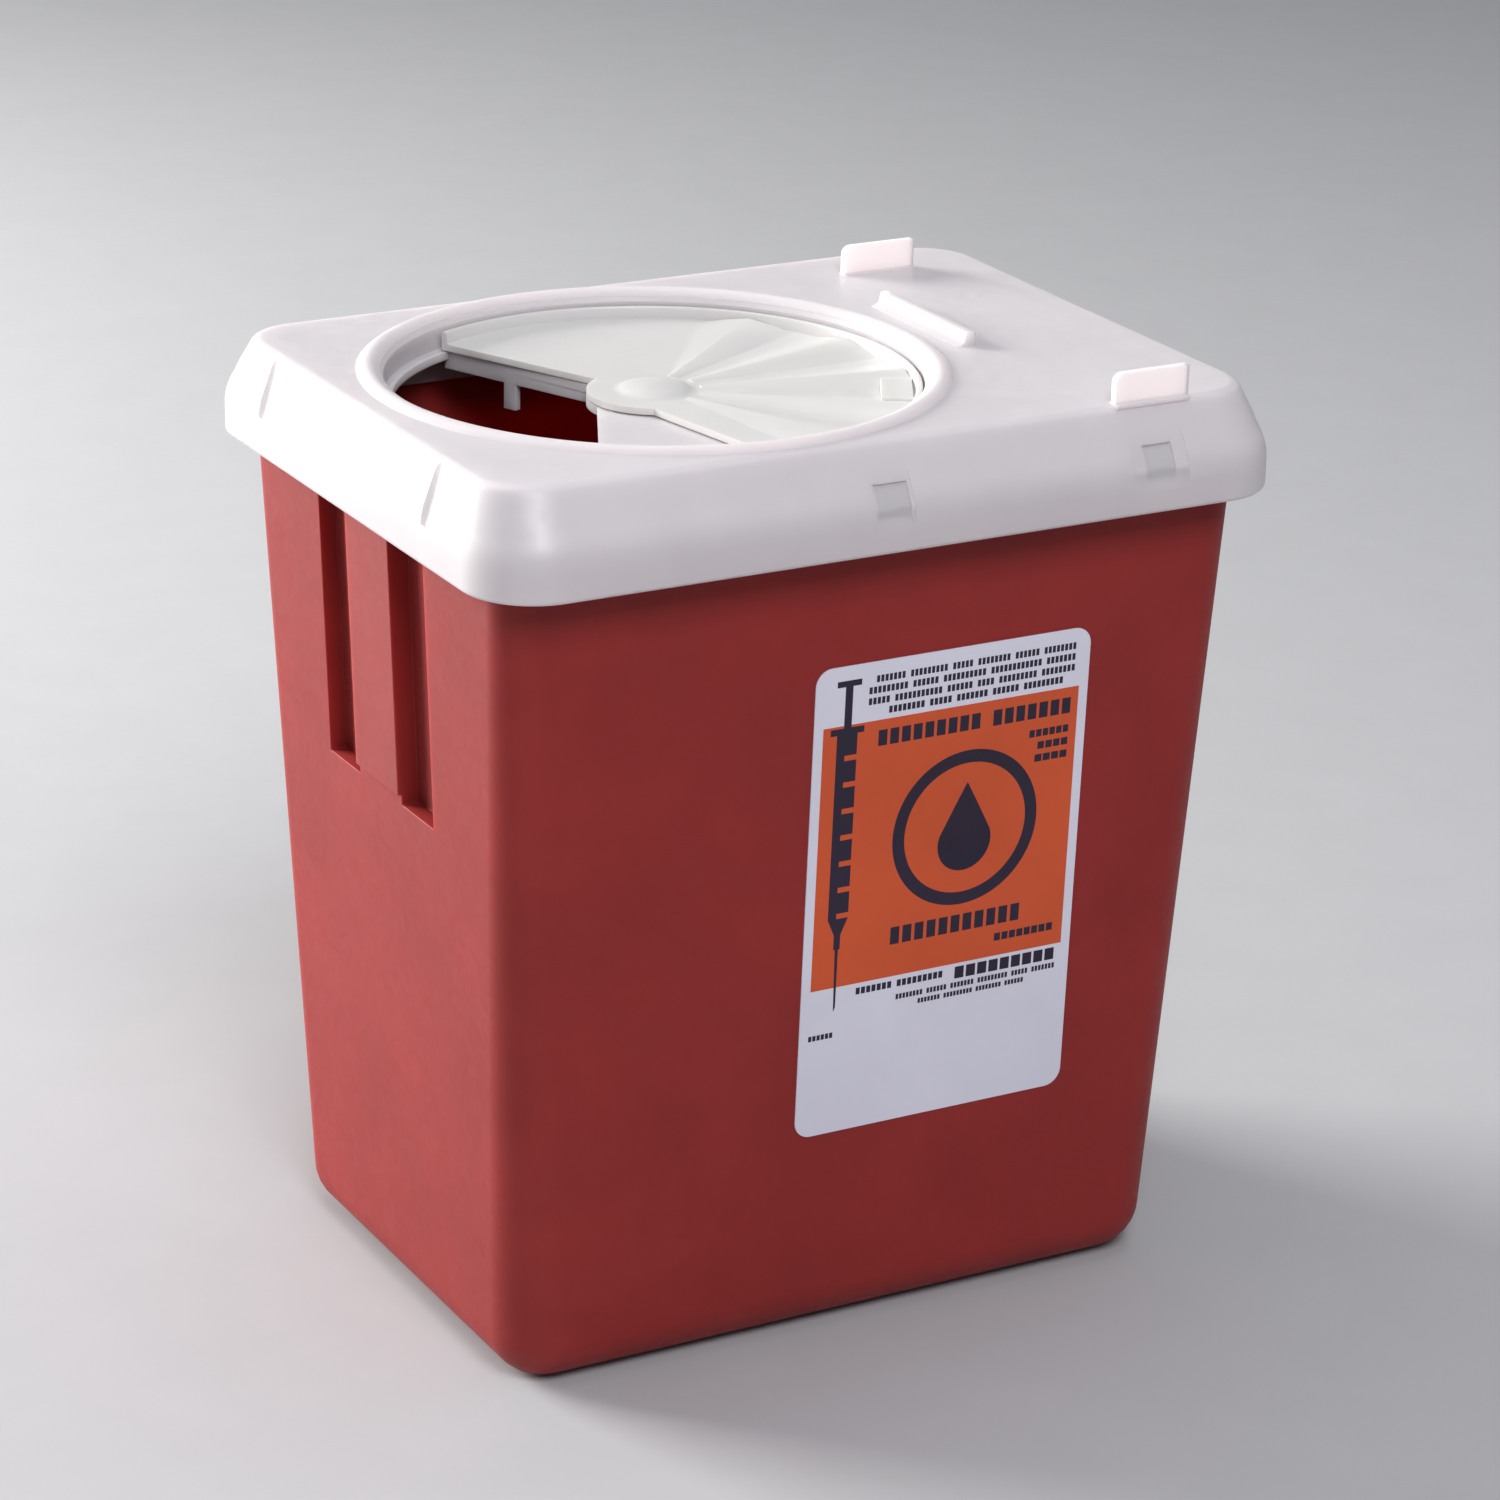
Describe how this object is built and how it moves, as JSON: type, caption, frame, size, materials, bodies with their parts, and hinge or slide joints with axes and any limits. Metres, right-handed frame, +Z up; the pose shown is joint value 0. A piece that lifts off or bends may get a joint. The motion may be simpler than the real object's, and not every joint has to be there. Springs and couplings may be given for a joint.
{
  "type": "sharps container",
  "caption": "Tapered red sharps tub with bracket grooves, a translucent white snap lid, a turning rotor over its drop opening and a printed label",
  "frame": {"origin": "middle of the container's flat bottom", "axes": "+X along the long side towards the tabs on the lid, -Y the labelled face, +Z up"},
  "size_m": [0.1686, 0.1314, 0.19],
  "materials": {
    "container_body": "satin injection-moulded polypropylene, red",
    "lid": "satin translucent white polypropylene",
    "rotor": "satin white polypropylene",
    "front_label": "smooth printed sticker, white with an orange panel"
  },
  "bodies": {
    "body": {"container_body": "container_body", "front_label": "front_label"},
    "lid": {"lid": "lid"},
    "rotor": {"rotor": "rotor"}
  },
  "joints": [
    {"name": "lid_lift", "type": "slide", "parent": "body", "child": "lid", "axis": [0, 0, 1], "range_m": [0, 0.06]},
    {"name": "rotor_turn", "type": "hinge", "parent": "lid", "child": "rotor", "pos_m": [-0.0188, 0, 0.179], "axis": [0, 0, 1], "range_deg": [0, 120]}
  ]
}
